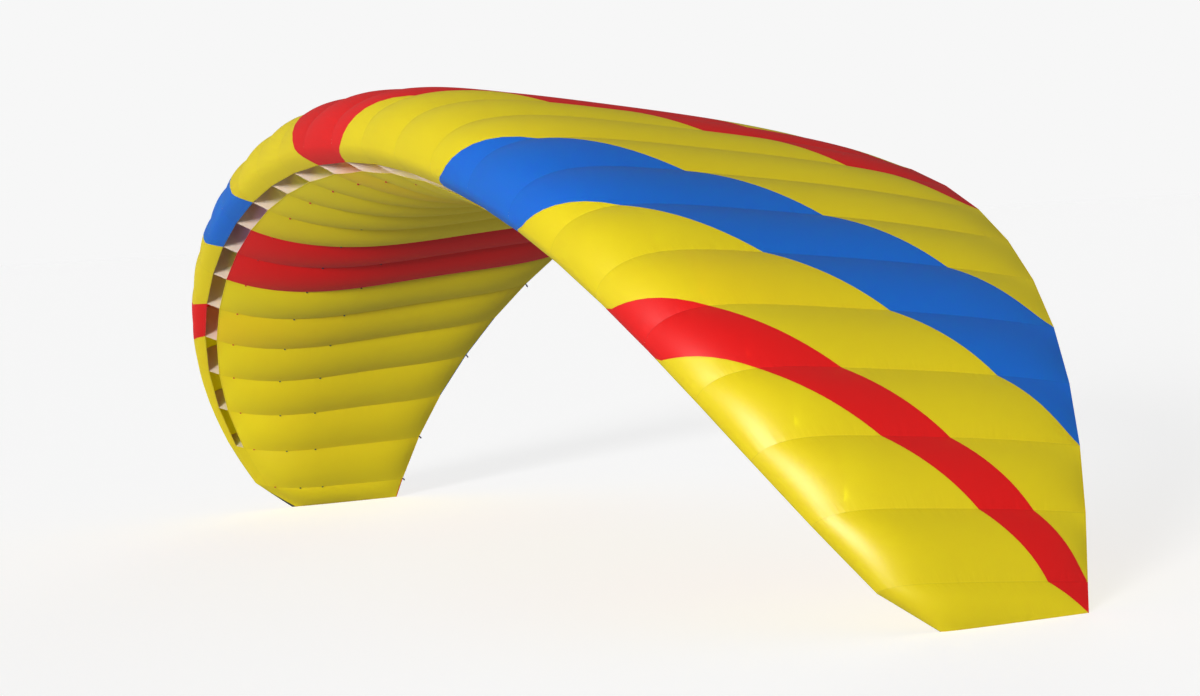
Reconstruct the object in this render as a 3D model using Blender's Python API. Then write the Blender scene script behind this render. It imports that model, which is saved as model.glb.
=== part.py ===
"""Paraglider wing, inflated, standing on its two tips like an arch.

The wing is a row of 27 cells sewn side by side. Each cell lies between two ribs, which are cut to the
wing's section. An upper panel runs from the trailing edge over the top and round the nose to the upper
lip of the air intake, and the lower sail closes the cell from the lower lip back to the trailing edge.
The two outer cells at each tip have no intake. A flat tip rib closes each end and is the wing's foot.

Frame: +X to the port tip, -Y forward to the nose, +Z up. The origin is at the middle of the wing's
plan, on the floor. Lengths are in metres. Ribs and cells are counted from the port tip.
"""

import math

import bmesh
import bpy
from mathutils import Matrix, Vector

# --- Driving dimensions ---------------------------------------------------------------------------
HALF_SPAN = 5.40        # from the middle of the wing to a tip, measured along the arch
ROOT_CHORD = 3.02       # nose to trailing edge at the middle of the wing
TIP_CHORD = 0.81        # the tip rib's
TIP_SET_BACK = 0.16     # how far the tip rib's nose lies behind the sweep law
TIP_THINNING = 0.28     # the tip rib's height over that of the full section
TIP_SKIRT = 0.044       # how far the front of the tip comes down past the arch, to stand flat
CELLS = 27
CLOSED_CELLS = 2        # cells at each tip that have no intake
TIP_CELL_WIDTH = 0.474  # the last cell's width over what the width law gives it
TIP_ANGLE = 72.0        # degrees that the arch has turned down by at the tip
PITCH = 3.5             # degrees that the nose is raised by, to bring the weight over the tips

SHEET = 0.002           # thickness of the sails
RIB_SHEET = 0.002       # thickness of a rib
TIP_SHEET = 0.003       # thickness of a tip rib
GAP = 0.0003            # left between neighbouring pieces
UNDER_GAP = 0.0005      # between a rib's lower edge and the lower sail, which slopes to either side
STEEP_GAP = 0.0009      # the same at the rib next to each tip, where the sail climbs to the thin tip
LIP_GAP = 0.0015        # at the seam under the nose of a closed cell, where the two sails slope apart
SEAM_DEPTH = 0.001      # how far a rib's upper edge lies below the panels on either side

# --- Laws along the half span: {power of u: share}, with u = 0 in the middle and 1 at the tip -----
ARCH_TURN = {1: 0.609, 3: 0.193, 5: 0.198}       # of TIP_ANGLE
CHORD_LOSS = {2: 0.3724, 4: 0.2962, 6: 0.0102}   # of ROOT_CHORD
SWEEP = {2: 0.5765, 4: 0.0265, 6: 0.6335}        # metres that the nose moves back by
TWIST = {2: 7.59, 4: -7.92}                      # degrees that the tail is raised by
CELL_NARROWING = {2: 0.409, 4: -0.079}           # of a cell's width

# --- The section, as shares of the chord ----------------------------------------------------------
UPPER_SHAPE = (0.380, 0.127, 0.218, 0.179)       # Bernstein weights of the upper curve, nose to tail
LOWER_SHAPE = (0.193, 0.371, 0.026, 0.321)       # and of the lower one
INTAKE = (0.0295, 0.0618)                        # the intake's two lips, on the lower curve
TOP_STATIONS = (1.0, 0.85, 0.68, 0.50, 0.34, 0.20, 0.09, 0.022)
LOWER_STATIONS = (INTAKE[1], 0.14, 0.29, 0.47, 0.66, 0.84, 1.0)

# --- The billow of the cloth between two ribs -----------------------------------------------------
SPAN_STEPS = 3                                   # strips that a cell's sail is folded into
UPPER_BILLOW = 0.100                             # height of the full billow over the cell's width
LOWER_BILLOW = 0.100
UPPER_GROWTH = (0.65, 2.2)                       # root of the station where it is full, and the power
LOWER_GROWTH = (0.40, 2.0)                       # of the curve by which it gets there
UPPER_START = -0.02                              # root of the station where the growth starts
GROWTH_SOFTNESS = 0.03                           # width of the start, as a difference of such roots

# --- The lower sail, in five lengths: name, first cell, last cell, cloth --------------------------
LOWER_SAIL = (
    ("lower_sail_port_outer", 0, 6, "yellow"),
    ("lower_sail_port_stripe", 7, 8, "red"),
    ("lower_sail_middle", 9, 17, "yellow"),
    ("lower_sail_starboard_stripe", 18, 19, "red"),
    ("lower_sail_starboard_outer", 20, 26, "yellow"),
)
BLUE_CELLS = (6, 20)    # cells whose upper panel has the most blue in it

# --- Cloths: name, base colour, roughness ---------------------------------------------------------
CLOTHS = (
    ("yellow", (0.78, 0.62, 0.02), 0.42),
    ("blue", (0.02, 0.16, 0.62), 0.42),
    ("red", (0.66, 0.01, 0.01), 0.42),
    ("rib_white", (0.80, 0.72, 0.66), 0.55),
)

ARC_STEPS = 400         # steps in which the arch is added up


def law(terms, u):
    """The sum of share * u**power."""
    return sum(share * u**power for power, share in terms.items())


def trace_arch():
    """Points (x, z) of the half arch at equal steps of u, from the crown down to the tip."""
    x = z = 0.0
    points = [(x, z)]
    for step in range(ARC_STEPS):
        turned = math.radians(TIP_ANGLE) * law(ARCH_TURN, (step + 0.5) / ARC_STEPS)
        x += math.cos(turned) * HALF_SPAN / ARC_STEPS
        z -= math.sin(turned) * HALF_SPAN / ARC_STEPS
        points.append((x, z))
    return points


ARCH = trace_arch()


def arch_point(u):
    """The arch at u, between -1 at the starboard tip and 1 at the port tip."""
    place = min(abs(u) * ARC_STEPS, ARC_STEPS - 1e-9)
    low = int(place)
    part = place - low
    x = ARCH[low][0] * (1 - part) + ARCH[low + 1][0] * part
    z = ARCH[low][1] * (1 - part) + ARCH[low + 1][1] * part
    return math.copysign(x, u), z


def rib_places():
    """u of each rib, from the port tip to the starboard tip."""
    widths = []
    for cell in range(CELLS):
        middle = abs(1 - 2 * (cell + 0.5) / CELLS)
        widths.append(1 - law(CELL_NARROWING, middle))
    widths[0] *= TIP_CELL_WIDTH
    widths[-1] *= TIP_CELL_WIDTH
    total = sum(widths)
    places = [1.0]
    for width in widths:
        places.append(places[-1] - 2 * width / total)
    return places


def curve_height(station, shape):
    """Height of the section's upper or lower curve over the chord line, as a share of the chord."""
    weights = zip(shape, (1, 3, 3, 1))
    blend = sum(w * n * station**k * (1 - station) ** (3 - k) for k, (w, n) in enumerate(weights))
    return math.sqrt(station) * (1 - station) * blend


def tail_height(station, chord):
    """Half the height that the two sails and their gap need at the trailing edge."""
    return (SHEET + GAP / 2) * station / chord


class Rib:
    """The plane, place and section of one rib. Its section is drawn in (back, out) coordinates."""

    def __init__(self, place):
        side = math.copysign(1, place)
        u = abs(place)
        x, z = arch_point(place)
        self.tip = u > 0.999
        nose = Vector((x, law(SWEEP, u), z))
        turned = side * math.radians(TIP_ANGLE) * law(ARCH_TURN, u)
        twist = math.radians(law(TWIST, u))
        arch_out = Vector((math.sin(turned), 0, math.cos(turned)))
        back = Vector((0, math.cos(twist), 0)) + math.sin(twist) * arch_out
        out = math.cos(twist) * arch_out - Vector((0, math.sin(twist), 0))
        self.chord = ROOT_CHORD * (1 - law(CHORD_LOSS, u))
        self.height = 1.0
        if self.tip:
            nose.y += TIP_SET_BACK
            self.chord = TIP_CHORD
            self.height = TIP_THINNING
        pitch = Matrix.Rotation(-math.radians(PITCH), 3, "X")
        self.nose = pitch @ nose
        self.back = pitch @ back
        self.out = pitch @ out
        if self.tip:
            self.nose.z -= TIP_SKIRT
            self.back = Vector((0, 1, 0))
            self.out = Vector((side, 0, 0))
        self.port = self.back.cross(self.out)    # square to the rib, towards the port tip

    def section(self, station, shape):
        """(back, out) of a point on the upper or lower curve, in metres."""
        sign = 1 if shape is UPPER_SHAPE else -1
        height = self.height * curve_height(station, shape) + tail_height(station, self.chord)
        return Vector((station, sign * height)) * self.chord

    def at(self, flat):
        """The point in space of (back, out)."""
        return self.nose + flat.x * self.back + flat.y * self.out


RIBS = [Rib(place) for place in rib_places()]
FLOOR = RIBS[0].nose.z


def edge_normals(points):
    """Unit normals of a flat line of points, to the left of its direction."""
    normals = []
    for index in range(len(points)):
        along = points[min(index + 1, len(points) - 1)] - points[max(index - 1, 0)]
        normals.append(Vector((-along.y, along.x)).normalized())
    return normals


def upper_line(rib, closed):
    """The outer line of an upper panel at a rib, from the intake round the nose to the tail."""
    lips = [INTAKE[1] - LIP_GAP / rib.chord, INTAKE[0]] if closed else [INTAKE[0]]
    line = [rib.section(station, LOWER_SHAPE) for station in lips]
    line.append(rib.section(0.0, UPPER_SHAPE))
    return line + [rib.section(station, UPPER_SHAPE) for station in reversed(TOP_STATIONS)]


def lower_line(rib):
    """The outer line of the lower sail at a rib, from the intake's lower lip to the tail."""
    return [rib.section(station, LOWER_SHAPE) for station in LOWER_STATIONS]


def billow_growth(past, full, power):
    """Share of the full billow at a distance past its start: none before it, and all from full on."""
    soft = (past + math.hypot(past, GROWTH_SOFTNESS)) / 2
    return 1 - (1 - min(1.0, soft / full)) ** power


def upper_billows(closed):
    """The billow at each point of an upper line, over the cell's width. The tail is sewn flat."""
    lips = [INTAKE[1], INTAKE[0]] if closed else [INTAKE[0]]
    roots = [-math.sqrt(station) for station in lips] + [0.0]
    roots += [math.sqrt(station) for station in reversed(TOP_STATIONS)]
    shares = [billow_growth(root - UPPER_START, *UPPER_GROWTH) for root in roots]
    return [UPPER_BILLOW * share * (1 - root**24) for share, root in zip(shares, roots)]


def lower_billows():
    """The same at each point of a lower line."""
    pasts = [math.sqrt(station) - math.sqrt(INTAKE[1]) for station in LOWER_STATIONS]
    shares = [billow_growth(past, *LOWER_GROWTH) for past in pasts]
    return [LOWER_BILLOW * share * (1 - station**10)
            for share, station in zip(shares, LOWER_STATIONS)]


def rib_column(rib, line, shift, sign):
    """Outer and inner points of a sail where it meets a rib, moved by shift towards port."""
    move = shift * rib.port
    if rib.tip:
        move = Vector((0, 0, TIP_SHEET + GAP))
    outer = [rib.at(point) + move for point in line]
    inner = [rib.at(p - sign * SHEET * n) + move for p, n in zip(line, edge_normals(line))]
    return outer, inner


def billow_columns(port_rib, board_rib, line_of, billows, sign):
    """Outer and inner points of the cloth at each fold between two ribs, from port to starboard."""
    ends = []
    for rib in (port_rib, board_rib):
        line = line_of(rib)
        out = [n.x * rib.back + n.y * rib.out for n in edge_normals(line)]
        lift = Vector((0, 0, TIP_SHEET + GAP)) if rib.tip else Vector()
        ends.append(([rib.at(point) + lift for point in line], out))
    (port_line, port_out), (board_line, board_out) = ends
    columns = []
    for fold in range(1, SPAN_STEPS):
        share = fold / SPAN_STEPS
        outer = []
        inner = []
        for index, billow in enumerate(billows):
            a, b = port_line[index], board_line[index]
            normal = sign * (port_out[index] + board_out[index]).normalized()
            rise = billow * 4 * share * (1 - share) * (a - b).length
            point = a.lerp(b, share) + rise * normal
            outer.append(point)
            inner.append(point - SHEET * normal)
        columns.append((outer, inner))
    return columns


def sheet_mesh(name, columns):
    """A closed sheet from columns of (outer points, inner points), each pair of skins cut alike."""
    rows = len(columns[0][0])
    points = [p for outer, inner in columns for p in outer + inner]
    faces = []

    def corner(column, row, skin):
        return (column * 2 + skin) * rows + row

    def quad(a, b, c, d):
        faces.extend(((a, b, c), (a, c, d)))

    last_column, last_row = len(columns) - 1, rows - 1
    for column in range(last_column):
        for row in range(last_row):
            cells = ((column, row), (column + 1, row), (column + 1, row + 1), (column, row + 1))
            quad(*[corner(c, r, 0) for c, r in cells])
            a, b, c, d = [corner(c, r, 1) for c, r in cells]
            faces.extend(((a, c, b), (a, d, c)))
        for row in (0, last_row):
            side = [corner(column, row, 0), corner(column + 1, row, 0)]
            side += [corner(column + 1, row, 1), corner(column, row, 1)]
            quad(*(side if row else reversed(side)))
    for row in range(last_row):
        for column in (0, last_column):
            side = [corner(column, row, 0), corner(column, row + 1, 0)]
            side += [corner(column, row + 1, 1), corner(column, row, 1)]
            quad(*(reversed(side) if column else side))
    return mesh_from(name, points, faces)


def plate_mesh(name, outline, thickness_vector):
    """A flat plate from its outline, a list of points, and the vector through its thickness."""
    low = [point - thickness_vector / 2 for point in outline]
    high = [point + thickness_vector / 2 for point in outline]
    count = len(outline)
    faces = [tuple(range(count)), tuple(reversed(range(count, 2 * count)))]
    for index in range(count):
        after = (index + 1) % count
        faces.append((index, count + index, count + after, after))
    return mesh_from(name, low + high, faces)


def mesh_from(name, points, faces):
    """A mesh with all faces pointing out, moved to the wing's own frame."""
    mesh = bpy.data.meshes.new(name)
    mesh.from_pydata([point - ORIGIN for point in points], [], faces)
    shape = bmesh.new()
    shape.from_mesh(mesh)
    bmesh.ops.recalc_face_normals(shape, faces=shape.faces)
    if shape.calc_volume(signed=True) < 0:
        bmesh.ops.reverse_faces(shape, faces=shape.faces)
    shape.to_mesh(mesh)
    shape.free()
    return mesh


def find_origin():
    """The point of the floor under the middle of the wing's plan, nose to tail."""
    middle = [RIBS[CELLS // 2], RIBS[CELLS // 2 + 1]]
    line = upper_line(middle[0], False)
    columns = billow_columns(*middle, lambda rib: upper_line(rib, False), upper_billows(False), 1)
    reach = [point.y for outer, _ in columns for point in outer]
    reach += [middle[0].at(point).y for point in line + lower_line(middle[0])]
    return Vector((0, (min(reach) + max(reach)) / 2, FLOOR))


ORIGIN = find_origin()


def upper_panel(cell):
    """The mesh of one upper panel, between the faces of its two ribs."""
    port_rib, board_rib = RIBS[cell], RIBS[cell + 1]
    closed = min(cell, CELLS - 1 - cell) < CLOSED_CELLS

    def line_of(rib):
        return upper_line(rib, closed)

    inset = RIB_SHEET / 2 + GAP
    columns = [rib_column(port_rib, line_of(port_rib), -inset, 1)]
    columns += billow_columns(port_rib, board_rib, line_of, upper_billows(closed), 1)
    columns.append(rib_column(board_rib, line_of(board_rib), inset, 1))
    return sheet_mesh(f"upper_panel_{cell + 1:02d}", columns)


def lower_sail(name, first, last):
    """The mesh of one length of the lower sail, which passes under the ribs inside it."""
    columns = [rib_column(RIBS[first], lower_line(RIBS[first]), -GAP / 2, -1)]
    for cell in range(first, last + 1):
        port_rib, board_rib = RIBS[cell], RIBS[cell + 1]
        columns += billow_columns(port_rib, board_rib, lower_line, lower_billows(), -1)
        shift = GAP / 2 if cell == last else 0.0
        columns.append(rib_column(board_rib, lower_line(board_rib), shift, -1))
    return sheet_mesh(name, columns)


def rib_plate(number):
    """The mesh of one rib. A tip rib is flat on the floor, under the ends of the sails."""
    rib = RIBS[number]
    top, under = upper_line(rib, True)[1:], lower_line(rib)
    if rib.tip:
        outline = [rib.at(point) for point in top + under[:0:-1]]
        rise = Vector((0, 0, TIP_SHEET))
        return plate_mesh(f"rib_{number + 1:02d}", [p + rise / 2 for p in outline], rise)
    top = [p - SEAM_DEPTH * n for p, n in zip(top, edge_normals(top))]
    gap = STEEP_GAP if number in (1, CELLS - 1) else UNDER_GAP
    under = [p + (SHEET + gap) * n for p, n in zip(under, edge_normals(under))]
    outline = [rib.at(point) for point in top + under[::-1]]
    return plate_mesh(f"rib_{number + 1:02d}", outline, RIB_SHEET * rib.port)


def make_cloths():
    """The four cloths, as plain materials by name."""
    cloths = {}
    for name, colour, roughness in CLOTHS:
        material = bpy.data.materials.new(name)
        material.use_nodes = True
        shader = material.node_tree.nodes["Principled BSDF"]
        shader.inputs["Base Color"].default_value = (*colour, 1)
        shader.inputs["Roughness"].default_value = roughness
        material.diffuse_color = (*colour, 1)
        cloths[name] = material
    return cloths


def add_piece(mesh, cloth):
    """Put a mesh into the scene as an object of its own."""
    piece = bpy.data.objects.new(mesh.name, mesh)
    mesh.materials.append(cloth)
    bpy.context.scene.collection.objects.link(piece)


def main():
    """Clear the scene and build the wing."""
    for old in list(bpy.data.objects):
        bpy.data.objects.remove(old, do_unlink=True)
    cloths = make_cloths()
    for cell in range(CELLS):
        add_piece(upper_panel(cell), cloths["blue" if cell in BLUE_CELLS else "yellow"])
    for number in range(len(RIBS)):
        add_piece(rib_plate(number), cloths["rib_white"])
    for name, first, last, cloth in LOWER_SAIL:
        add_piece(lower_sail(name, first, last), cloths[cloth])


main()
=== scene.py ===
import math
from itertools import groupby

import bmesh
import bpy
import numpy as np
from mathutils import Matrix, Vector


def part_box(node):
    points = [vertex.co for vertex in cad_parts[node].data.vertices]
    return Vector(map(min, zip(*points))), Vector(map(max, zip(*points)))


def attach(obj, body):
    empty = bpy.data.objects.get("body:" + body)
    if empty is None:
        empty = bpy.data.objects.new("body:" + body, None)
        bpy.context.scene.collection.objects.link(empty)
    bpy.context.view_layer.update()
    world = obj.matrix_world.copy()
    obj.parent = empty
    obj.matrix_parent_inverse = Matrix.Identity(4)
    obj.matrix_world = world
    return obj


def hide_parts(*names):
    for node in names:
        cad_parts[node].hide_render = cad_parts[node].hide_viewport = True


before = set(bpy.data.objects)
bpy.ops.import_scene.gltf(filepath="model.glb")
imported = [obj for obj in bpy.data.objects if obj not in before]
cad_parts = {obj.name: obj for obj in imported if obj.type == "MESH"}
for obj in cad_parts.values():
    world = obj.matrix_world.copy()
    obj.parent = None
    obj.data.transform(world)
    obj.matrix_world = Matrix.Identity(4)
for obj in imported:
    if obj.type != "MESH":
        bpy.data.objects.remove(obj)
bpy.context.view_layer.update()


# --- Ribs -----------------------------------------------------------------------------------------
# The ribs are cut from stiff white ripstop to the wing's section, and both sails are sewn to their
# edges. They stand square to the arch, one between each two cells, and show in the mouths of the
# intakes. The two at the ends lie flat, and the wing stands on them.

HALF_SPAN = 5.40        # middle of the wing to a tip, along the arch
ROOT_CHORD = 3.02
TIP_CHORD = 0.81
TIP_SET_BACK = 0.16     # how far the tip rib's nose lies behind the sweep law
TIP_THINNING = 0.28     # the tip rib's height over that of the full section
TIP_SKIRT = 0.044       # how far the tip's front reaches down past the arch, to stand flat
CELLS = 27
MIDDLE = CELLS / 2      # the number that a rib in the middle of the wing would have
CLOSED_CELLS = 2        # cells at each tip that have no intake
TIP_CELL_WIDTH = 0.474  # the last cell's width over what the width law gives it
TIP_ANGLE = 72.0        # degrees that the arch has turned down by at the tip
PITCH = 3.5             # degrees that the nose is raised by as the wing stands

# Laws along the half span, as {power of u: share}, from u = 0 in the middle to 1 at the tip
ARCH_TURN = {1: 0.609, 3: 0.193, 5: 0.198}       # of TIP_ANGLE
CHORD_LOSS = {2: 0.3724, 4: 0.2962, 6: 0.0102}   # of ROOT_CHORD
SWEEP = {2: 0.5765, 4: 0.0265, 6: 0.6335}        # metres that the nose moves back by
TWIST = {2: 7.59, 4: -7.92}                      # degrees that the tail is raised by
CELL_NARROWING = {2: 0.409, 4: -0.079}           # of a cell's width
ARC_STEPS = 400

UPPER_SHAPE = (0.380, 0.127, 0.218, 0.179)       # weights of the upper curve, nose to tail
LOWER_SHAPE = (0.193, 0.371, 0.026, 0.321)
INTAKE = (0.0295, 0.0618)                        # the intake's two lips, as shares of the chord
UPPER_LIP, LOWER_LIP = (-math.sqrt(share) for share in INTAKE)
SLOPE_STEP = 0.004      # g to each side over which the outline's slope is taken
CLOTH = 0.001           # thickness of every cloth
TAIL_GAP = 0.0004       # between the two sails at the trailing edge
RIB_ROWS = 56
RIB_INSET = 0.0013      # how far a rib's edge lies inside the section, under the sails' cloth
# The white rib cloth is tinted warm beige: painted light, the colour of the warm light that falls on the
# ribs inside the wing
RIB_COLOUR_PAINTED_WARM = (0.97, 0.74, 0.55)
RIB_ROUGHNESS = 0.55
FOLD_ANGLE = 40.0       # degrees between two faces that meet in a crease


def law(terms, u):
    return sum(share * u**power for power, share in terms.items())


def trace_arch():
    """Points (x, z) of the half arch at equal steps, from the crown to the tip."""
    x = z = 0.0
    points = [(x, z)]
    for step in range(ARC_STEPS):
        turned = math.radians(TIP_ANGLE) * law(ARCH_TURN, (step + 0.5) / ARC_STEPS)
        x += math.cos(turned) * HALF_SPAN / ARC_STEPS
        z -= math.sin(turned) * HALF_SPAN / ARC_STEPS
        points.append((x, z))
    return points


ARCH = trace_arch()


def rib_places():
    """u of each rib, from 1 at the port tip to -1 at the starboard tip."""
    widths = [1 - law(CELL_NARROWING, abs(1 - 2 * (cell + 0.5) / CELLS)) for cell in range(CELLS)]
    widths[0] *= TIP_CELL_WIDTH
    widths[-1] *= TIP_CELL_WIDTH
    places = [1.0]
    for width in widths:
        places.append(places[-1] - 2 * width / sum(widths))
    return places


class Rib:
    """A rib's place and outline. A point of the outline is found by g, from -1 at the tail's underside
    through 0 at the nose to 1 at the tail's top. It lies g * g of the chord behind the nose."""

    def __init__(self, place):
        side, u = math.copysign(1, place), min(abs(place), 1 - 1e-9)
        low = int(u * ARC_STEPS)
        part = u * ARC_STEPS - low
        x, z = (a * (1 - part) + b * part for a, b in zip(ARCH[low], ARCH[low + 1]))
        self.tip = u > 0.999
        turned = side * math.radians(TIP_ANGLE) * law(ARCH_TURN, u)
        twist = math.radians(law(TWIST, u))
        arch_out = Vector((math.sin(turned), 0, math.cos(turned)))
        pitch = Matrix.Rotation(-math.radians(PITCH), 3, "X")
        nose = Vector((side * x, law(SWEEP, u) + self.tip * TIP_SET_BACK, z))
        self.nose = pitch @ nose
        self.back = pitch @ (Vector((0, math.cos(twist), 0)) + math.sin(twist) * arch_out)
        self.out = pitch @ (math.cos(twist) * arch_out - Vector((0, math.sin(twist), 0)))
        self.chord = ROOT_CHORD * (1 - law(CHORD_LOSS, u))
        self.height = 1.0
        if self.tip:
            self.nose.z -= TIP_SKIRT
            self.back, self.out = Vector((0, 1, 0)), Vector((side, 0, 0))
            self.chord, self.height = TIP_CHORD, TIP_THINNING
        self.port = self.back.cross(self.out)

    def section(self, g):
        """(back, out) of the outline at g, in metres."""
        share = min(g * g, 1.0)
        weights = zip(UPPER_SHAPE if g > 0 else LOWER_SHAPE, (1, 3, 3, 1))
        blend = sum(w * n * share**k * (1 - share) ** (3 - k) for k, (w, n) in enumerate(weights))
        tail = math.copysign((CLOTH + TAIL_GAP / 2) * share, g)
        return Vector((share * self.chord, g * (1 - share) * blend * self.height * self.chord + tail))

    def at(self, flat):
        """The point in space of (back, out)."""
        return self.nose + flat[0] * self.back + flat[1] * self.out

    def skin(self, g):
        """The point of the outline at g, and the direction out of the wing there."""
        ahead = self.section(min(g + SLOPE_STEP, 1))
        behind = self.section(max(g - SLOPE_STEP, -1))
        along = (ahead - behind).normalized()
        return self.at(self.section(g)), along.x * self.out - along.y * self.back


RIBS = [Rib(place) for place in rib_places()]
MIDDLE_RIB = RIBS[CELLS // 2]
tail_y = MIDDLE_RIB.at((MIDDLE_RIB.chord, 0)).y
frame_tail_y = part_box(f"rib_{CELLS // 2 + 1:02d}")[1].y
to_frame = Vector((0, frame_tail_y - tail_y, -RIBS[0].nose.z))
for rib in RIBS:
    rib.nose += to_frame


def sew(name, patches):
    """One mesh of thin closed sheets. A patch is four grids of the same size: the points of one face,
    those of the other, where they lie on the flat cloth, and how far from its seams they are."""
    mesh = bmesh.new()
    place_of = mesh.verts.layers.float_vector.new("place")
    seams_of = mesh.verts.layers.float_vector.new("seams")
    for faces in patches:
        made = []
        for points in faces[:2]:
            made.append([[mesh.verts.new(point) for point in line] for line in points])
            for line, places, seams in zip(made[-1], *faces[2:]):
                for vert, place, seam in zip(line, places, seams):
                    vert[place_of] = place
                    vert[seams_of] = seam
        one, other = made
        last, end = len(one) - 1, len(one[0]) - 1
        for i in range(last):
            for j in range(end):
                square = ((i, j), (i + 1, j), (i + 1, j + 1), (i, j + 1))
                mesh.faces.new([one[a][b] for a, b in square])
                mesh.faces.new([other[a][b] for a, b in reversed(square)])
            for j in (0, end):
                mesh.faces.new([one[i][j], other[i][j], other[i + 1][j], one[i + 1][j]])
        for j in range(end):
            for i in (0, last):
                mesh.faces.new([one[i][j], one[i][j + 1], other[i][j + 1], other[i][j]])
    bmesh.ops.remove_doubles(mesh, verts=mesh.verts, dist=CLOTH / 50)
    bmesh.ops.recalc_face_normals(mesh, faces=mesh.faces)
    data = bpy.data.meshes.new(name)
    mesh.to_mesh(data)
    mesh.free()
    data.shade_smooth()
    data.set_sharp_from_angle(angle=math.radians(FOLD_ANGLE))
    piece = bpy.data.objects.new(name, data)
    bpy.context.scene.collection.objects.link(piece)
    return piece


def rib_patch(rib):
    """A rib's cloth: three lines of points from nose to tail, along its underside, middle and top."""
    lips = [rib.section(g) for g in (UPPER_LIP, LOWER_LIP)]
    columns, places, seams = [], [], []
    for row in range(RIB_ROWS + 1):
        g = row / RIB_ROWS
        share = g * g
        top, under = rib.section(g), rib.section(-g)
        if INTAKE[0] < share < INTAKE[1]:
            under = lips[0].lerp(lips[1], (share - INTAKE[0]) / (INTAKE[1] - INTAKE[0]))
        inset = min(RIB_INSET, (top - under).length / 2)
        top = top - Vector((0, inset))
        under = under + Vector((0, inset))
        line = [under, (under + top) / 2, top]
        columns.append(line)
        places.append([(p.x, p.y, rib.nose.x) for p in line])
        seams.append([(0, 0, 0), ((top - under).length / 2, 0, 0), (0, 0, 0)])
    side = rib.port * CLOTH / 2
    faces = [[[rib.at(p) + shift for p in line] for line in columns] for shift in (side, -side)]
    if rib.tip:
        lift = Vector((0, 0, CLOTH / 2))
        faces = [[[point + lift for point in line] for line in face] for face in faces]
    return (*faces, places, seams)


def put(tree, kind, values=(), **settings):
    """A new node. values gives its inputs, by name or number, as values or as other nodes' outputs."""
    node = tree.nodes.new(f"ShaderNode{kind}")
    for name, value in settings.items():
        setattr(node, name, value)
    for name, value in dict(values).items():
        if isinstance(value, bpy.types.NodeSocket):
            tree.links.new(value, node.inputs[name])
        else:
            node.inputs[name].default_value = value
    return node


def maths(tree, operation, *values):
    return put(tree, "Math", enumerate(values), operation=operation).outputs[0]


def new_effect(name, inputs, outputs):
    """An empty node group with its sockets, given as {name: kind}."""
    tree = bpy.data.node_groups.new(name, "ShaderNodeTree")
    for way, sockets in (("INPUT", inputs), ("OUTPUT", outputs)):
        for label, kind in sockets.items():
            tree.interface.new_socket(label, in_out=way, socket_type=f"NodeSocket{kind}")
    return tree, tree.nodes.new("NodeGroupInput").outputs, tree.nodes.new("NodeGroupOutput").inputs


def ripstop_weave():
    """Thicker threads at even steps both ways, which keep a tear from running."""
    sockets = {"Place": "Vector", "Step": "Float", "Thread": "Float"}
    tree, given, made = new_effect("Ripstop weave", sockets, {"Mask": "Float"})
    place = put(tree, "SeparateXYZ", {0: given["Place"]}).outputs
    lines = []
    for way in ("X", "Y"):
        count = maths(tree, "FRACT", maths(tree, "DIVIDE", place[way], given["Step"]))
        lines.append(maths(tree, "LESS_THAN", count, given["Thread"]))
    tree.links.new(maths(tree, "MAXIMUM", *lines), made["Mask"])
    return tree


def slow_tone():
    """Broad light and dark areas, from the dye and from handling."""
    sockets = {"Place": "Vector", "Scale": "Float"}
    tree, given, made = new_effect("Slow tone", sockets, {"Tone": "Float"})
    clouds = put(tree, "TexNoise", {"Vector": given["Place"], "Scale": given["Scale"], "Detail": 3.0})
    tree.links.new(clouds.outputs[0], made["Tone"])
    return tree


WEAVE, TONE = ripstop_weave(), slow_tone()
THIN = 0.35                 # share of the light that goes into a cloth and partly through it
LIGHT_SPREAD = 0.02         # how far it spreads in there, in the cloth's own colour
DARK = 0.45                 # brightness of a full mark, over the cloth's own
THREAD_SHADE = 0.05         # how much of a mark the thick threads make
THREAD_HEIGHT = 0.00006
RELIEF = 0.6                # strength of the weave and the puckers
TONE_SCALE = 1.7            # light and dark areas in a metre
TONE_SHADE = 0.10           # how much of a mark the dark ones make
TONE_ROUGHNESS = 0.10       # how much rougher they are than the light ones
LOW_ROUGHNESS = 0.7         # how much rougher a cloth looks at a low angle


def use(tree, group, **values):
    return put(tree, "Group", values, node_tree=group).outputs[0]


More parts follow.
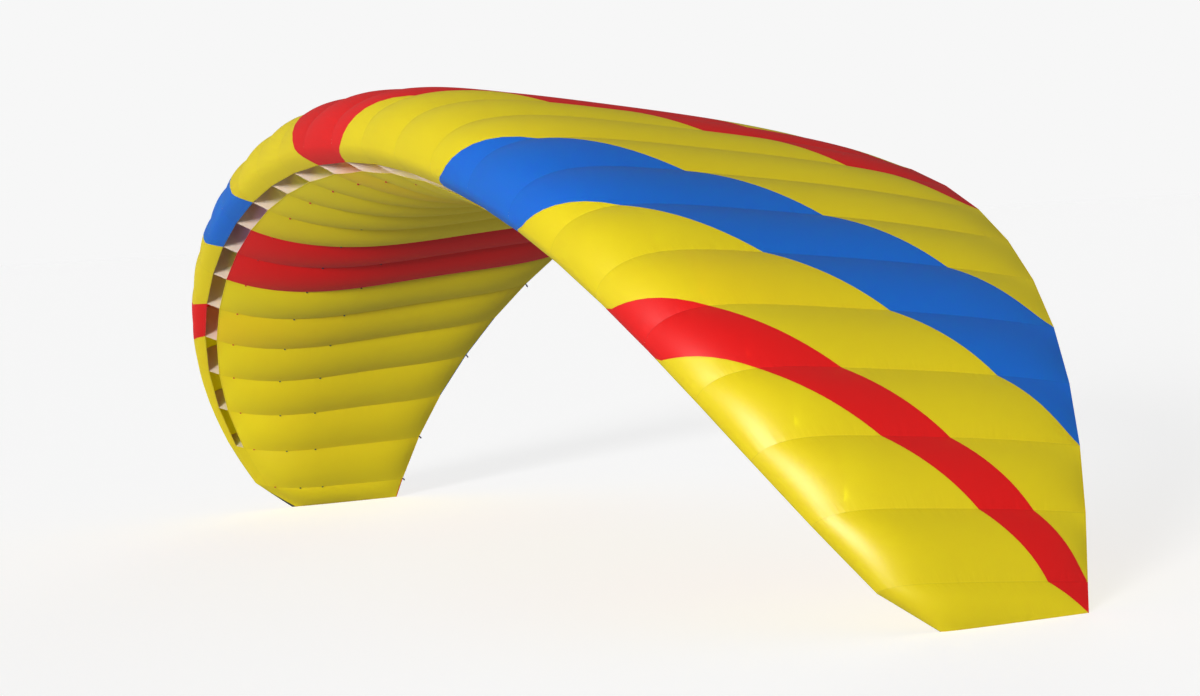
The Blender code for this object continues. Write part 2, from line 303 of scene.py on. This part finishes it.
def cloth_material(name, colour, roughness, sewn, step=0.005, thread=0.16):
    """Woven cloth in one colour, with a thick thread in each step of its weave. sewn gives the marks
    along its seams, as (mask, height): the stitches, and on the sails painted shade in the seams'
    creases."""
    material = bpy.data.materials.new(name)
    material.use_nodes = True
    tree = material.node_tree
    shader = tree.nodes["Principled BSDF"]
    place = put(tree, "Attribute", attribute_name="place").outputs["Vector"]
    weave = use(tree, WEAVE, Place=place, Step=step, Thread=thread)
    tone = use(tree, TONE, Place=place, Scale=TONE_SCALE)
    mark, pull = sewn(tree, place)
    threads = maths(tree, "MULTIPLY", weave, THREAD_SHADE)
    shade = maths(tree, "MAXIMUM", maths(tree, "MULTIPLY_ADD", tone, TONE_SHADE, threads), mark)
    dark = [channel * DARK for channel in colour]
    mix = put(tree, "Mix", data_type="RGBA")
    factor, first, second, mixed = mix.inputs[0], mix.inputs[6], mix.inputs[7], mix.outputs[2]
    first.default_value, second.default_value = (*colour, 1), (*dark, 1)
    tree.links.new(shade, factor)
    tree.links.new(mixed, shader.inputs["Base Color"])
    shader.inputs["Subsurface Weight"].default_value = THIN
    shader.inputs["Subsurface Radius"].default_value = [channel / max(colour) for channel in colour]
    shader.inputs["Subsurface Scale"].default_value = LIGHT_SPREAD
    low = put(tree, "LayerWeight").outputs["Facing"]
    low = maths(tree, "MULTIPLY", low, low)
    rough = maths(tree, "MULTIPLY_ADD", tone, TONE_ROUGHNESS, roughness - TONE_ROUGHNESS / 2)
    rough = maths(tree, "MULTIPLY_ADD", low, LOW_ROUGHNESS, rough)
    tree.links.new(rough, shader.inputs["Roughness"])
    height = maths(tree, "MULTIPLY_ADD", weave, THREAD_HEIGHT, pull)
    bump = put(tree, "Bump", {"Height": height, "Distance": 1.0, "Strength": RELIEF})
    tree.links.new(bump.outputs["Normal"], shader.inputs["Normal"])
    return material


def plain(tree, place):
    """No marks."""
    return 0.0, 0.0


rib_cloth = cloth_material("rib cloth, white with painted warm light", RIB_COLOUR_PAINTED_WARM, RIB_ROUGHNESS, plain)
for number, rib in enumerate(RIBS, 1):
    node = f"rib_{number:02d}"
    piece = sew(f"{node}_cloth", [rib_patch(rib)])
    piece.data.materials.append(rib_cloth)
    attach(piece, "root")
    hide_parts(node)


# --- Upper sail -----------------------------------------------------------------------------------
# 27 panels of coated ripstop nylon, one to a cell, sewn to the ribs at both sides. Each runs from the
# intake's upper lip round the nose to the trailing edge, and is pieced from yellow, blue and red cloth
# with straight seams that line up across the cells as bars. The air inside makes it billow.

UPPER_BILLOW = 0.100        # height of the full billow over the cell's width
UPPER_START = -0.02         # g where the billow starts
UPPER_GROWTH = (0.65, 2.2)  # g from there to where it is full, and the power of its growth
UPPER_FADE = 24             # power of its fading at the tail
BILLOW_SOFTNESS = 0.03      # g over which it starts
TIP_LIFT = 0.0012           # how far off the floor the sails' edges lie at the tip ribs
ACROSS = 12                 # strips across a cell
ROWS = 60                   # rows of squares for each 1 of g

# The bars of the port half, as the cells from the middle at which their two edges leave the nose.
# They run back and out, and reach the trailing edge BAR_RUN cells further.
BARS = (("red", 8.5, 7.5), ("blue", 5.5, 3.5), ("red", 0.5, -1.5))
BAR_RUN = 5
PATH_POINTS = 301
LIP_GAP = 0.0003            # g between the two sails at the nose of a closed cell


class Path:
    """The way along a sail from one g to another, measured on the middle rib."""

    def __init__(self, front, end):
        self.values = np.linspace(front, end, PATH_POINTS)
        points = [MIDDLE_RIB.section(g) for g in self.values]
        steps = [(there - here).length for here, there in zip(points, points[1:])]
        self.shares = np.concatenate(([0.0], np.cumsum(steps))) / sum(steps)
        self.length = sum(steps) / MIDDLE_RIB.chord
        self.way = math.copysign(1, end - front)

    def share(self, g):
        return float(np.interp(self.way * g, self.way * self.values, self.shares))

    def g(self, share):
        return float(np.interp(share, self.shares, self.values))


UPPER_PATH = Path(UPPER_LIP, 1)


def billow_growth(past, full, power):
    """Share of the full billow, from how far past its start a g lies and how far past it is full."""
    soft = (past + math.hypot(past, BILLOW_SOFTNESS)) / 2
    return 1 - (1 - min(1.0, soft / full)) ** power


def upper_billow(g):
    """The cloth is drawn tight round the nose, and the tail is sewn flat."""
    return UPPER_BILLOW * billow_growth(g - UPPER_START, *UPPER_GROWTH) * (1 - g**UPPER_FADE)


def cell_skin(cell, g, t, billow):
    """The point of a cell's sail at g, and at t from its port rib to its other, and the way out."""
    (a, out_a), (b, out_b) = RIBS[cell].skin(g), RIBS[cell + 1].skin(g)
    out = (out_a + out_b).normalized()
    if cell == 0:
        a = a + Vector((0, 0, TIP_LIFT))
    if cell == CELLS - 1:
        b = b + Vector((0, 0, TIP_LIFT))
    rise = billow(g) * 4 * t * (1 - t) * (a - b).length
    return a.lerp(b, t) + rise * out, out_a.lerp(out_b, t).normalized()


def panel_patch(cell, front, end, billow, path):
    """The cloth of one cell between two lines across it, each given as g at its two ribs."""
    rows = max(2, math.ceil(ROWS * max(abs(e - f) for f, e in zip(front, end))))
    ribs = RIBS[cell], RIBS[cell + 1]
    length = path.length * (ribs[0].chord + ribs[1].chord) / 2
    outer, inner, places, seams = [], [], [], []
    for column in range(ACROSS + 1):
        t = column / ACROSS
        first = front[0] * (1 - t) + front[1] * t
        last = end[0] * (1 - t) + end[1] * t
        values = [first + (last - first) * row / rows for row in range(rows + 1)]
        skins = [cell_skin(cell, g, t, billow) for g in values]
        outer.append([point for point, _ in skins])
        inner.append([point - CLOTH * out for point, out in skins])
        widths = [(ribs[0].skin(g)[0] - ribs[1].skin(g)[0]).length for g in values]
        ways = [length * path.share(g) for g in values]
        places.append([((t - 0.5) * width, way, cell) for width, way in zip(widths, ways)])
        seams.append([(min(t, 1 - t) * width, min(way - ways[0], ways[-1] - way), 0)
                      for width, way in zip(widths, ways)])
    return outer, inner, places, seams


def upper_cloths(cell):
    """The cloths of a cell's upper panel from the nose back, as (colour, front line, end line)."""
    ribs = (cell, cell + 1)
    closed = min(cell, CELLS - 1 - cell) < CLOSED_CELLS
    last = [LOWER_LIP + LIP_GAP if closed else UPPER_LIP] * 2
    cloths = []
    for colour, *starts in BARS:
        for cloth, start in zip(("yellow", colour), starts):
            line = [UPPER_PATH.g((abs(rib - MIDDLE) - start) / BAR_RUN) for rib in ribs]
            if max(line) > UPPER_LIP:
                cloths.append((cloth, last, line))
                last = line
    return [cloth for cloth in cloths + [("yellow", last, [1.0, 1.0])] if cloth[1] != cloth[2]]


# How fast the puckers change away from the seam and along it, for each metre, and from cell to cell
PUCKERS = {"X": 5.0, "Y": 24.0, "Z": 3.7}
PUCKER_REACH = 0.045
PUCKER_DEPTH = 0.006
CREASE = 0.0014             # width of the crease on each side of a seam
# Painted shade: how much the crease along each side seam is darkened, for the shade that falls in it
CREASE_PAINTED_SHADE = 0.25
STITCH = 0.004              # length of a stitch with the gap after it
STITCH_SHARE = 0.65         # of that length that is thread
STITCH_MIDDLE = 0.006       # from the cloth's end to the line between its two rows of stitches
STITCH_SPREAD = 0.003       # from that line to each row
STITCH_WIDTH = 0.0006       # half the width of a row
STITCH_SHADE = 0.5


def seam_pull():
    """Small puckers across a side seam, where the cloth is drawn in, and a mask along the crease of the
    seam, where shade is painted into the cloth's colour.
    """
    sockets = {"Place": "Vector", "Seams": "Vector", "Reach": "Float", "Depth": "Float"}
    tree, given, made = new_effect("Seam pull", sockets, {"Height": "Float", "Painted crease shade": "Float"})
    place = put(tree, "SeparateXYZ", {0: given["Place"]}).outputs
    side = put(tree, "SeparateXYZ", {0: given["Seams"]}).outputs["X"]
    away = maths(tree, "DIVIDE", side, given["Reach"])
    fade = maths(tree, "EXPONENT", maths(tree, "MULTIPLY", away, -1.0))
    ways = {"X": side, "Y": place["Y"], "Z": place["Z"]}
    scaled = {way: maths(tree, "MULTIPLY", ways[way], speed) for way, speed in PUCKERS.items()}
    at = put(tree, "CombineXYZ", scaled).outputs[0]
    folds = put(tree, "TexNoise", {"Vector": at, "Scale": 1.0, "Detail": 2.0}).outputs[0]
    lift = maths(tree, "MULTIPLY", maths(tree, "SUBTRACT", folds, 0.5), given["Depth"])
    tree.links.new(maths(tree, "MULTIPLY", lift, fade), made["Height"])
    # The crease mask marks where shade is painted into the cloth's colour
    tree.links.new(maths(tree, "LESS_THAN", side, CREASE), made["Painted crease shade"])
    return tree


def stitch_rows():
    """Two rows of stitches along the hem or lapped seam at each end of a cloth."""
    sockets = {"Place": "Vector", "Seams": "Vector", "Length": "Float"}
    tree, given, made = new_effect("Stitch rows", sockets, {"Mask": "Float"})
    place = put(tree, "SeparateXYZ", {0: given["Place"]}).outputs
    end = put(tree, "SeparateXYZ", {0: given["Seams"]}).outputs["Y"]
    off = maths(tree, "ABSOLUTE", maths(tree, "SUBTRACT", end, STITCH_MIDDLE))
    on_row = maths(tree, "COMPARE", off, STITCH_SPREAD, STITCH_WIDTH)
    count = maths(tree, "FRACT", maths(tree, "DIVIDE", place["X"], given["Length"]))
    on_thread = maths(tree, "LESS_THAN", count, STITCH_SHARE)
    tree.links.new(maths(tree, "MULTIPLY", on_row, on_thread), made["Mask"])
    return tree


PULL, STITCHES = seam_pull(), stitch_rows()


def stitch_marks(tree, place, seams):
    """The shade of the stitches at a cloth's ends."""
    rows = use(tree, STITCHES, Place=place, Seams=seams, Length=STITCH)
    return maths(tree, "MULTIPLY", rows, STITCH_SHADE)


def sail_seams(tree, place):
    """Marks and relief of the seams round a sail's cloth: the stitches, and painted shade in the crease
    of each side seam.
    """
    seams = put(tree, "Attribute", attribute_name="seams").outputs["Vector"]
    drawn = {"Place": place, "Seams": seams, "Reach": PUCKER_REACH, "Depth": PUCKER_DEPTH}
    pull = put(tree, "Group", drawn, node_tree=PULL).outputs
    # Painted shade in the seam's crease, darkening the cloth's colour there
    crease = maths(tree, "MULTIPLY", pull["Painted crease shade"], CREASE_PAINTED_SHADE)
    return maths(tree, "MAXIMUM", crease, stitch_marks(tree, place, seams)), pull["Height"]


SAIL_COLOURS = {
    "yellow": (0.96, 0.70, 0.001),
    "blue": (0.001, 0.14, 0.785),
    "red": (0.94, 0.001, 0.001),
}
SAIL_ROUGHNESS = 0.44
SAIL_CLOTHS = {}
for cloth, colour in SAIL_COLOURS.items():
    SAIL_CLOTHS[cloth] = cloth_material(f"sail cloth, {cloth}", colour, SAIL_ROUGHNESS, sail_seams)


def sew_panel(name, node, cloth, patch):
    """One cloth of a cell's sail, in place, with its part from the model hidden."""
    piece = sew(name, [patch])
    piece.data.materials.append(SAIL_CLOTHS[cloth])
    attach(piece, "root")
    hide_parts(node)


for cell in range(CELLS):
    node = f"upper_panel_{cell + 1:02d}"
    for letter, (cloth, front, end) in zip("abcdefg", upper_cloths(cell)):
        patch = panel_patch(cell, front, end, upper_billow, UPPER_PATH)
        sew_panel(f"{node}_{letter}_{cloth}", node, cloth, patch)


# --- Lower sail -----------------------------------------------------------------------------------
# The underside has one plain panel to a cell, of the same ripstop, from the intake's lower lip to the
# trailing edge. Two pairs of cells are red from end to end, and the rest are yellow.

LOWER_BILLOW = 0.100
LOWER_GROWTH = (0.40, 2.0)
LOWER_FADE = 20
LOWER_LENGTHS = (           # cells of one colour side by side: name, last cell, cloth
    ("port_outer", 6, "yellow"),
    ("port_stripe", 8, "red"),
    ("middle", 17, "yellow"),
    ("starboard_stripe", 19, "red"),
    ("starboard_outer", 26, "yellow"),
)
LOWER_PATH = Path(LOWER_LIP, -1)


def lower_billow(g):
    """The billow starts at the intake's lower lip and is full sooner."""
    return LOWER_BILLOW * billow_growth(LOWER_LIP - g, *LOWER_GROWTH) * (1 - g**LOWER_FADE)


def lower_length(cell):
    """The name and the cloth of the length that a cell's lower panel is part of."""
    return next((name, cloth) for name, last, cloth in LOWER_LENGTHS if cell <= last)


for cell in range(CELLS):
    name, cloth = lower_length(cell)
    patch = panel_patch(cell, [LOWER_LIP] * 2, [-1.0, -1.0], lower_billow, LOWER_PATH)
    sew_panel(f"lower_panel_{cell + 1:02d}_{cloth}", f"lower_sail_{name}", cloth, patch)


# --- Edge tapes -----------------------------------------------------------------------------------
# Narrow woven tape is folded over the raw edges and sewn through in two rows: along the upper and the
# lower lips of the intakes, and round both sails at the tail. It changes colour with the cloth, so a
# length runs as far as the cells of one colour.

TAPE_CLOTH = 0.0004
TAPE_LIFT = 0.0002          # between the tape and the cloth under it
LIP_TAPE = 0.008            # how far a lip's tape reaches in on each face
TAIL_TAPE = 0.007
TAPE_ROUGHNESS = 0.6
TAPE_WEAVE = {"step": 0.0012, "thread": 0.4}
NEAR = 0.005                # g over which the sail's own slope is measured


def skin_near(cell, g, t, billow, distance, way):
    """The skin at a distance from g towards larger g (way 1) or smaller g (way -1)."""
    here, there = (cell_skin(cell, g + way * step, t, billow)[0] for step in (0, NEAR))
    return cell_skin(cell, g + way * NEAR * distance / (there - here).length, t, billow)


def lip_folds(cells, lip, billow, way):
    """The tape's section at each step along a lip: points of the cloth and the way off it."""
    folds = []
    for cell in cells:
        for column in range(ACROSS + (cell == cells[-1])):
            t = column / ACROSS
            edge, out = cell_skin(cell, lip, t, billow)
            back, back_out = skin_near(cell, lip, t, billow, LIP_TAPE, way)
            turn = (edge - CLOTH / 2 * out, (edge - back).normalized())
            inside = [(edge - CLOTH * out, -out), (back - CLOTH * back_out, -back_out)]
            folds.append([(back, back_out), (edge, out), turn, *inside])
    return folds


def tail_folds(cells):
    """The same along the trailing edge, round both sails."""
    folds = []
    for cell in cells:
        for column in range(ACROSS + (cell == cells[-1])):
            t = column / ACROSS
            faces = []
            for g, billow in ((1, upper_billow), (-1, lower_billow)):
                faces.append(skin_near(cell, g, t, billow, TAIL_TAPE, -g))
                faces.append(cell_skin(cell, g, t, billow))
            top_in, top, under_in, under = faces
            turn = ((top[0] + under[0]) / 2, (top[0] - top_in[0]).normalized())
            folds.append([top_in, top, turn, under, under_in])
    return folds


def sew_tape(name, folds, cloth):
    """Tape over an edge, from its section at each step."""
    patch = [[], [], [], []]
    along = 0.0
    last = folds[0][2][0]
    for fold in folds:
        along += (fold[2][0] - last).length
        last = fold[2][0]
        across = [0.0]
        for (here, _), (there, _) in zip(fold, fold[1:]):
            across.append(across[-1] + (there - here).length)
        patch[0].append([point + (TAPE_LIFT + TAPE_CLOTH) * out for point, out in fold])
        patch[1].append([point + TAPE_LIFT * out for point, out in fold])
        patch[2].append([(along, way, 0) for way in across])
        patch[3].append([(0, min(way, across[-1] - way), 0) for way in across])
    piece = sew(name, [patch])
    piece.data.materials.append(TAPES[cloth])
    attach(piece, "root")


def tape_stitches(tree, place):
    seams = put(tree, "Attribute", attribute_name="seams").outputs["Vector"]
    return stitch_marks(tree, place, seams), 0.0


TAPES = {}
for cloth, colour in SAIL_COLOURS.items():
    name = f"edge tape, {cloth}"
    TAPES[cloth] = cloth_material(name, colour, TAPE_ROUGHNESS, tape_stitches, **TAPE_WEAVE)

OPEN_CELLS = range(CLOSED_CELLS, CELLS - CLOSED_CELLS)
EDGES = (
    ("intake_tape_upper", OPEN_CELLS, lambda cell: upper_cloths(cell)[0][0],
     lambda cells: lip_folds(cells, UPPER_LIP, upper_billow, 1)),
    ("intake_tape_lower", OPEN_CELLS, lambda cell: lower_length(cell)[1],
     lambda cells: lip_folds(cells, LOWER_LIP, lower_billow, -1)),
    ("tail_tape", range(CELLS), lambda cell: upper_cloths(cell)[-1][0], tail_folds),
)
for name, cells, cloth_at, folds_along in EDGES:
    for cloth, run in groupby(cells, cloth_at):
        run = list(run)
        sew_tape(f"{name}_{run[0] + 1:02d}_{cloth}", folds_along(run), cloth)


# --- Line loops -----------------------------------------------------------------------------------
# The suspension lines tie to short loops of folded polyester tape. Their ends are sewn into the seams
# of the underside, in three rows under the ribs, and the row at the front is red so that it is found.

LOOP_TAPE = 0.010
LOOP_CLOTH = 0.0008
LOOP_LENGTH = 0.010
LOOP_EYE = 0.004            # half the width of its eye, if the eye were round
LOOP_CLOSING = 1.5          # how sharply the eye closes towards its ends
LOOP_ROUND = 2.2            # way round the eye over its length
LOOP_ROOT = 0.002           # how deep its ends lie in the seam
LOOP_STEPS = 18
LOOP_WEAVE = {"step": 0.001, "thread": 0.45}
# Each row's letter, its share of the chord behind the nose, and its tape
LOOP_ROWS = (("a", 0.11, "red"), ("b", 0.27, "dark"), ("c", 0.42, "dark"))


def loop_patch(root, away, along, length):
    """A loop of tape with its ends at root: a drop-shaped eye, seen end-on in the along direction."""
    side = along.cross(away).normalized()
    drop = []
    for step in range(LOOP_STEPS + 1):
        turn = 2 * math.pi * step / LOOP_STEPS
        across = LOOP_EYE * math.sin(turn) * math.sin(turn / 2) ** LOOP_CLOSING
        drop.append(Vector((across, length * (1 - math.cos(turn)) / 2)))
    patch = [[], [], [], []]
    for step, point in enumerate(drop):
        ahead = drop[min(step + 1, LOOP_STEPS)] - drop[max(step - 1, 0)]
        if step in (0, LOOP_STEPS):
            ahead = Vector((0, 1 if step == 0 else -1))
        off = Vector((ahead.y, -ahead.x)).normalized()
        for face, flat in enumerate((point + LOOP_CLOTH * off, point)):
            middle = root + flat.x * side + flat.y * away
            patch[face].append([middle + end * LOOP_TAPE / 2 * along for end in (-1, 1)])
        way = step * LOOP_ROUND * length / LOOP_STEPS
        patch[2].append([(way, end * LOOP_TAPE, 0) for end in (0, 1)])
        patch[3].append([(0, 0, 0)] * 2)
    return patch


def sew_loops(name, patches, cloth):
    """All the loops of one row as one piece, in place."""
    piece = sew(name, patches)
    piece.data.materials.append(LOOP_CLOTHS[cloth])
    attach(piece, "root")


LOOP_COLOURS = {"red": (0.55, 0.01, 0.01), "dark": (0.03, 0.03, 0.045)}
LOOP_CLOTHS = {}
for cloth, colour in LOOP_COLOURS.items():
    name = f"loop tape, {cloth}"
    LOOP_CLOTHS[cloth] = cloth_material(name, colour, TAPE_ROUGHNESS, plain, **LOOP_WEAVE)

for row, share, cloth in LOOP_ROWS:
    patches = []
    for rib in RIBS[1:-1]:
        root, away = rib.skin(-math.sqrt(share))
        patches.append(loop_patch(root - LOOP_ROOT * away, away, rib.port.cross(away), LOOP_LENGTH))
    sew_loops(f"line_loops_{row}", patches, cloth)


# --- Brake loops ----------------------------------------------------------------------------------
# Longer loops of the same tape are sewn into the tail, one for each branch of the two brake lines. The
# lines would draw them down, so they point into the arch.

BRAKE_RIBS = (1, 2, 4, 6, 8, 10, 12)        # counted from each tip rib
BRAKE_LOOP = 0.030
BRAKE_ROOT = 0.003          # how deep their ends lie in the tail
BRAKE_LEAN = 0.3            # how far they lean back for each 1 that they point inwards

patches = []
for number in BRAKE_RIBS:
    for rib in (RIBS[number], RIBS[CELLS - number]):
        end = rib.at((rib.chord, 0))
        inwards = (BRAKE_LEAN * rib.back - rib.out).normalized()
        patches.append(loop_patch(end - BRAKE_ROOT * rib.back, inwards, rib.port, BRAKE_LOOP))
sew_loops("brake_loops", patches, "dark")


# --- Tip patches ----------------------------------------------------------------------------------
# A narrow wedge of the same dark cloth lies along the nose of each tip cell, just under it: painted
# shade, a dark sheet that stands for the shade line under the tip's nose. It widens from its point to
# its full width at the tip rib.

TIP_PATCH_START = 0.30      # where its point lies, as a share of the way from the inner rib to the tip
TIP_PATCH_POINT = -0.08     # g of its point
TIP_PATCH_TAPER = 0.08      # width of the point over the full width
TIP_PATCH_REACH = (0.03, -0.17)     # g of its two edges at the tip
TIP_PATCH_STEPS = (16, 8)
TIP_PATCH_LENGTH = 0.3


def tip_shade_patch(cell):
    """The dark wedge of painted shade over one tip cell, from its point to the tip rib."""
    patch = [[], [], [], []]
    for step in range(TIP_PATCH_STEPS[0] + 1):
        grown = step / TIP_PATCH_STEPS[0]
        outward = TIP_PATCH_START + (1 - TIP_PATCH_START) * grown
        t = 1 - outward if cell == 0 else outward
        width = max(grown, TIP_PATCH_TAPER)
        front, end = (TIP_PATCH_POINT + (edge - TIP_PATCH_POINT) * width for edge in TIP_PATCH_REACH)
        values = np.linspace(front, end, TIP_PATCH_STEPS[1] + 1).tolist()
        skins = [cell_skin(cell, g, t, upper_billow) for g in values]
        patch[0].append([point + (TAPE_LIFT + TAPE_CLOTH) * out for point, out in skins])
        patch[1].append([point + TAPE_LIFT * out for point, out in skins])
        lengths = [(point - skins[0][0]).length for point, _ in skins]
        patch[2].append([(grown * TIP_PATCH_LENGTH, length, 0) for length in lengths])
        patch[3].append([(0, 0, 0)] * len(skins))
    return patch


# Painted shade: both dark wedges as one piece, in the dark loop tape's material
piece = sew("tip_shade_patches", [tip_shade_patch(0), tip_shade_patch(CELLS - 1)])
piece.data.materials.append(LOOP_CLOTHS["dark"])
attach(piece, "root")


# --- Floor and light ------------------------------------------------------------------------------
# A plain pale floor that runs out of sight. A low sun and a broad one for the cloth's sheen shine from
# beyond the port tip's front, a weaker one from behind, and even light from all round. The floor lets
# all of it through from below.

FLOOR_HALF = 300.0          # from its middle to its edges
FLOOR_GREY = 0.5
FLOOR_SHINE = 0.68          # brightness of its own, which keeps it pale
BACKDROP = 0.93             # brightness of the even light where it is seen past the floor
AMBIENT = 0.295             # and where it falls on the wing
REFLECTED = 0.03            # and where the cloth mirrors it
GLOW_ENDS = (-0.22, 0.352)  # g at the two ends of the cloth of a cell that the sun shines through
GLOW_WIDTH = 0.7            # of that cloth, over the cell's
GLOW_DEPTH = 0.03           # from that cloth to the lamp
GLOW = 0.70                 # how bright it shines inwards
GLOW_COLOURS = {"yellow": (0.68, 0.95, 0.02), "blue": (0.50, 0.35, 0.90), "red": (0.95, 0.20, 0.10)}

floor_mesh = bpy.data.meshes.new("floor")
corners = [(x * FLOOR_HALF, y * FLOOR_HALF, 0) for x, y in ((-1, -1), (1, -1), (1, 1), (-1, 1))]
floor_mesh.from_pydata(corners, [], [(0, 1, 2, 3)])
floor = bpy.data.objects.new("floor", floor_mesh)
bpy.context.scene.collection.objects.link(floor)
floor.visible_diffuse = floor.visible_glossy = floor.visible_shadow = False
paint = bpy.data.materials.new("floor, pale matt")
paint.use_nodes = True
shader = paint.node_tree.nodes["Principled BSDF"]
shader.inputs["Base Color"].default_value = (FLOOR_GREY, FLOOR_GREY, FLOOR_GREY, 1)
shader.inputs["Roughness"].default_value = 1.0
shader.inputs["Specular IOR Level"].default_value = 0.0
shader.inputs["Emission Color"].default_value = (1, 1, 1, 1)
shader.inputs["Emission Strength"].default_value = FLOOR_SHINE
floor_mesh.materials.append(paint)


def add_sun(name, azimuth, elevation, strength, angle):
    """A sun whose light comes from an azimuth, counted from the front (-Y) towards port (+X)."""
    lamp = bpy.data.lights.new(name, "SUN")
    lamp.energy = strength
    lamp.angle = math.radians(angle)
    turn, rise = math.radians(azimuth), math.radians(elevation)
    level = Vector((math.sin(turn), -math.cos(turn), 0))
    towards = math.cos(rise) * level + Vector((0, 0, math.sin(rise)))
    sun = bpy.data.objects.new(name, lamp)
    sun.rotation_euler = towards.to_track_quat("Z", "Y").to_euler()
    bpy.context.scene.collection.objects.link(sun)
    return sun


key = add_sun("key sun", azimuth=44.6, elevation=8.4, strength=3.45, angle=12)
sheen = add_sun("sheen sun", azimuth=41.2, elevation=4.0, strength=6.6, angle=52)
back = add_sun("back sun", azimuth=237, elevation=3, strength=1.6, angle=20)
key.visible_glossy = back.visible_glossy = False
sheen.visible_diffuse = False

# What the low sun sends through the thin upper cloth, in the cloth's colour, as a soft lamp in each cell
for cell in OPEN_CELLS:
    front, end = (cell_skin(cell, g, 0.5, upper_billow)[0] for g in GLOW_ENDS)
    out = cell_skin(cell, sum(GLOW_ENDS) / 2, 0.5, upper_billow)[1]
    along = (end - front).normalized()
    out = (out - out.dot(along) * along).normalized()
    lamp = bpy.data.lights.new(f"glow {cell + 1}", "AREA")
    lamp.shape = "RECTANGLE"
    lamp.size = GLOW_WIDTH * (RIBS[cell].nose - RIBS[cell + 1].nose).length
    lamp.size_y = (end - front).length
    lamp.energy = math.pi * lamp.size * lamp.size_y * GLOW
    lamp.color = GLOW_COLOURS[upper_cloths(cell)[0][0]]
    glow = bpy.data.objects.new(lamp.name, lamp)
    axes = Matrix((along.cross(out), along, out)).transposed()
    glow.matrix_world = Matrix.LocRotScale((front + end) / 2 - GLOW_DEPTH * out, axes, None)
    glow.visible_camera = glow.visible_glossy = False
    bpy.context.scene.collection.objects.link(glow)

world = bpy.data.worlds.new("even light")
bpy.context.scene.world = world
world.use_nodes = True
sky = world.node_tree
rays = put(sky, "LightPath").outputs
even = maths(sky, "MULTIPLY_ADD", rays["Is Camera Ray"], BACKDROP - AMBIENT, AMBIENT)
even = maths(sky, "MULTIPLY_ADD", rays["Is Glossy Ray"], REFLECTED - AMBIENT, even)
sky.links.new(even, sky.nodes["Background"].inputs["Strength"])
sky.nodes["Background"].inputs["Color"].default_value = (1, 1, 1, 1)


# --- Camera ---------------------------------------------------------------------------------------
# It stands at the port side and a little in front, almost level with the wing, on a long lens.

CAMERA_PLACE = (16.504, -7.3926, 2.0010)
CAMERA_TURN = 65.310        # degrees to the left of looking along +Y
CAMERA_TILT = -2.535        # degrees up from level
CAMERA_ROLL = -3.305
CAMERA_LENS = 91.565        # millimetres, on a sensor 36 mm wide
CAMERA_REACH = 1000

camera = bpy.data.objects.new("camera", bpy.data.cameras.new("camera"))
camera.data.lens = CAMERA_LENS
camera.data.sensor_width = 36
camera.data.clip_end = CAMERA_REACH
turn = Matrix.Rotation(math.radians(CAMERA_TURN), 4, "Z")
tilt = Matrix.Rotation(math.radians(90 + CAMERA_TILT), 4, "X")
roll = Matrix.Rotation(math.radians(CAMERA_ROLL), 4, "Z")
camera.matrix_world = Matrix.Translation(CAMERA_PLACE) @ turn @ tilt @ roll
bpy.context.scene.collection.objects.link(camera)
bpy.context.scene.camera = camera
bpy.context.scene.view_settings.view_transform = "Standard"
